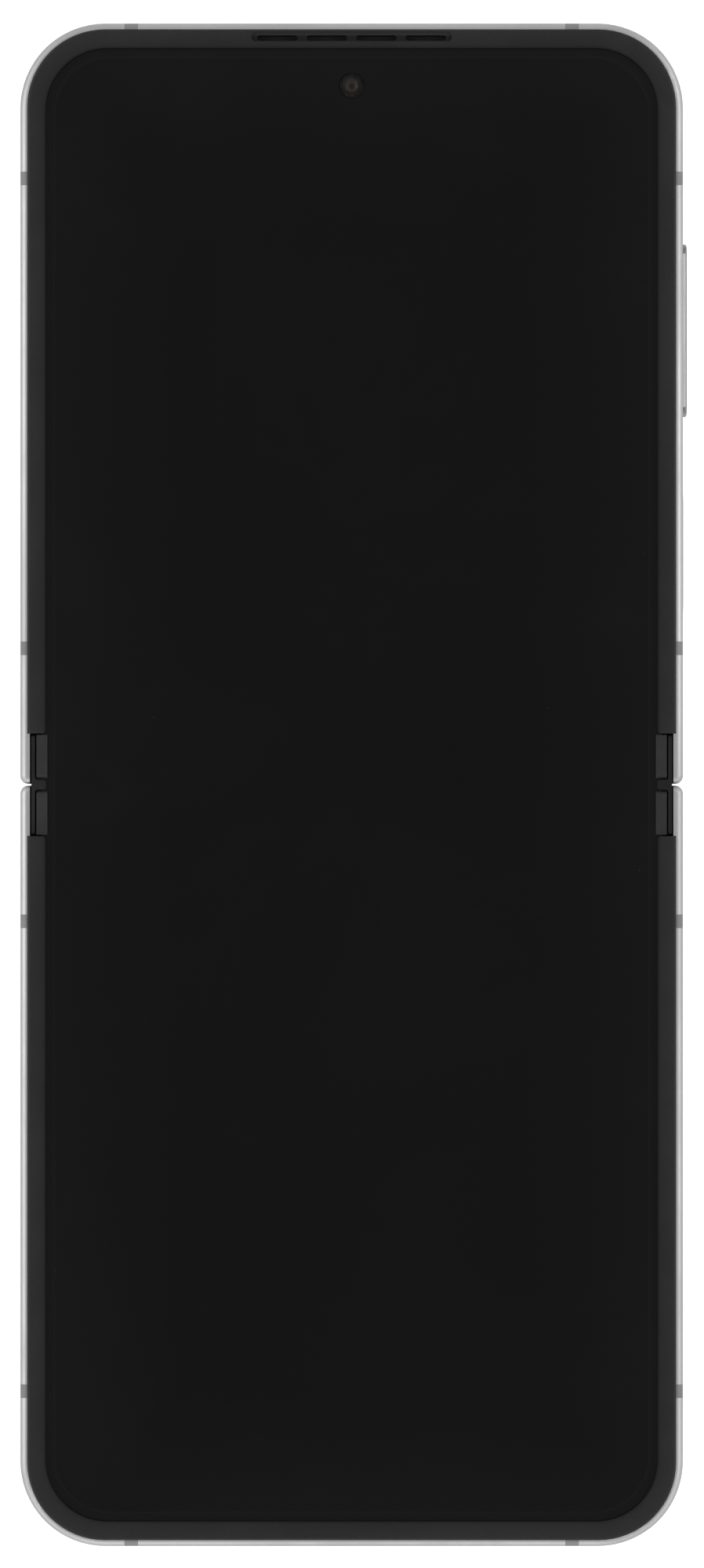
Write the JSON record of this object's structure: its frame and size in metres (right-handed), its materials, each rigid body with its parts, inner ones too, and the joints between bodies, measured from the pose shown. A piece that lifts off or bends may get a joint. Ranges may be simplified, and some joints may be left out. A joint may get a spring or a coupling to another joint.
{
  "type": "folding mobile phone",
  "caption": "Clamshell phone opened flat: two rounded halves on a geared twin-axis hinge, flexible inner display, side keys and a card tray.",
  "frame": {"origin": "middle of the back at the fold line, on the plane of the back glass", "axes": "+Z out of the inner display, +Y towards the earpiece end, +X to the right as the display is read"},
  "size_m": [0.0724, 0.1652, 0.0076],
  "materials": {
    "frame_metal": "satin anodised",
    "band_plastic": "matte",
    "bezel_plastic": "fine matte",
    "back_glass": "gloss",
    "display_glass": "gloss",
    "hinge_metal": "brushed",
    "plate_steel": "brushed",
    "midplate_metal": "cast",
    "screw_steel": "plain",
    "battery_film": "film",
    "ribbon": "polyimide film",
    "board": "solder mask",
    "shield": "plain",
    "camera_body": "matte",
    "camera_glass": "gloss",
    "copper": "plain"
  },
  "bodies": {
    "lower_half": {"lower_frame": "frame_metal", "lower_antenna_bands": "band_plastic", "lower_bezel": "bezel_plastic", "lower_back_glass": "back_glass", "lower_midplate": "midplate_metal", "lower_display_plate": "plate_steel", "lower_display_panel": "display_glass", "lower_flaps": "bezel_plastic", "lower_hinge_arms": "hinge_metal", "lower_hinge_screws": "screw_steel", "lower_battery": "battery_film", "lower_ribbons": "ribbon", "charging_coil": "copper", "sub_board": "board", "sub_board_screws": "screw_steel", "usb_c_port": "shield", "loudspeaker": "camera_body", "vibration_motor": "shield", "microphone": "shield"},
    "hinge_spine": {"hinge_cover": "frame_metal", "hinge_end_caps": "bezel_plastic", "hinge_brackets": "hinge_metal", "bracket_screws": "screw_steel", "friction_discs": "screw_steel", "display_fold": "display_glass", "hinge_flex_cables": "ribbon"},
    "upper_half": {"upper_frame": "frame_metal", "upper_antenna_bands": "band_plastic", "upper_bezel": "bezel_plastic", "upper_back_glass": "back_glass", "cover_display": "display_glass", "upper_midplate": "midplate_metal", "upper_display_plate": "plate_steel", "upper_display_panel": "display_glass", "upper_flaps": "bezel_plastic", "upper_hinge_arms": "hinge_metal", "upper_hinge_screws": "screw_steel", "upper_battery": "battery_film", "upper_ribbons": "ribbon", "main_board": "board", "main_board_screws": "screw_steel", "board_shields": "shield", "front_camera": "camera_body", "earpiece_speaker": "camera_body", "earpiece_mesh": "shield", "main_camera": "camera_body", "wide_camera": "camera_body", "camera_rings": "frame_metal", "camera_glasses": "camera_glass", "flash_led": "camera_glass", "key_switches": "shield", "card_reader": "shield"},
    "upper_outer_gears": {"upper_outer_gears": "hinge_metal"},
    "upper_inner_gears": {"upper_inner_gears": "hinge_metal"},
    "lower_inner_gears": {"lower_inner_gears": "hinge_metal"},
    "lower_outer_gears": {"lower_outer_gears": "hinge_metal"},
    "volume_key": {"volume_key": "frame_metal"},
    "power_key": {"power_key": "frame_metal", "fingerprint_sensor": "camera_glass"},
    "sim_tray": {"sim_tray": "frame_metal"}
  },
  "joints": [
    {"name": "lower_fold", "type": "hinge", "parent": "lower_half", "child": "hinge_spine", "pos_m": [0, -0.00135, 0.0062], "axis": [1, 0, 0], "range_deg": [0, 90], "deforming": ["display_fold", "hinge_flex_cables"]},
    {"name": "upper_fold", "type": "hinge", "parent": "hinge_spine", "child": "upper_half", "pos_m": [0, 0.00135, 0.0062], "axis": [1, 0, 0], "range_deg": [0, 90], "deforming": ["display_fold", "hinge_flex_cables"]},
    {"name": "upper_outer_gear_spin", "type": "hinge", "parent": "hinge_spine", "child": "upper_outer_gears", "pos_m": [0, 0.0033, 0.00382], "axis": [1, 0, 0], "range_deg": [-162, 0]},
    {"name": "upper_inner_gear_spin", "type": "hinge", "parent": "hinge_spine", "child": "upper_inner_gears", "pos_m": [0, 0.0011, 0.00382], "axis": [1, 0, 0], "range_deg": [0, 162]},
    {"name": "lower_inner_gear_spin", "type": "hinge", "parent": "hinge_spine", "child": "lower_inner_gears", "pos_m": [0, -0.0011, 0.00382], "axis": [1, 0, 0], "range_deg": [-162, 0]},
    {"name": "lower_outer_gear_spin", "type": "hinge", "parent": "hinge_spine", "child": "lower_outer_gears", "pos_m": [0, -0.0033, 0.00382], "axis": [1, 0, 0], "range_deg": [0, 162]},
    {"name": "volume_rock", "type": "hinge", "parent": "upper_half", "child": "volume_key", "pos_m": [0.03345, 0.0494, 0.0033], "axis": [0, 0, 1], "range_deg": [-1.15, 1.15], "stiffness_Nm_per_rad": 0.5},
    {"name": "power_press", "type": "slide", "parent": "upper_half", "child": "power_key", "axis": [-1, 0, 0], "range_m": [0, 0.0002], "stiffness_N_per_m": 4000, "springref_m": -0.0001},
    {"name": "tray_slide", "type": "slide", "parent": "upper_half", "child": "sim_tray", "axis": [-1, 0, 0], "range_m": [0, 0.022]}
  ],
  "couplings": [
    {"joint": "upper_fold", "follows": "lower_fold", "ratio": 1},
    {"joint": "upper_outer_gear_spin", "follows": "lower_fold", "ratio": -1.8},
    {"joint": "upper_inner_gear_spin", "follows": "lower_fold", "ratio": 1.8},
    {"joint": "lower_inner_gear_spin", "follows": "lower_fold", "ratio": -1.8},
    {"joint": "lower_outer_gear_spin", "follows": "lower_fold", "ratio": 1.8}
  ]
}
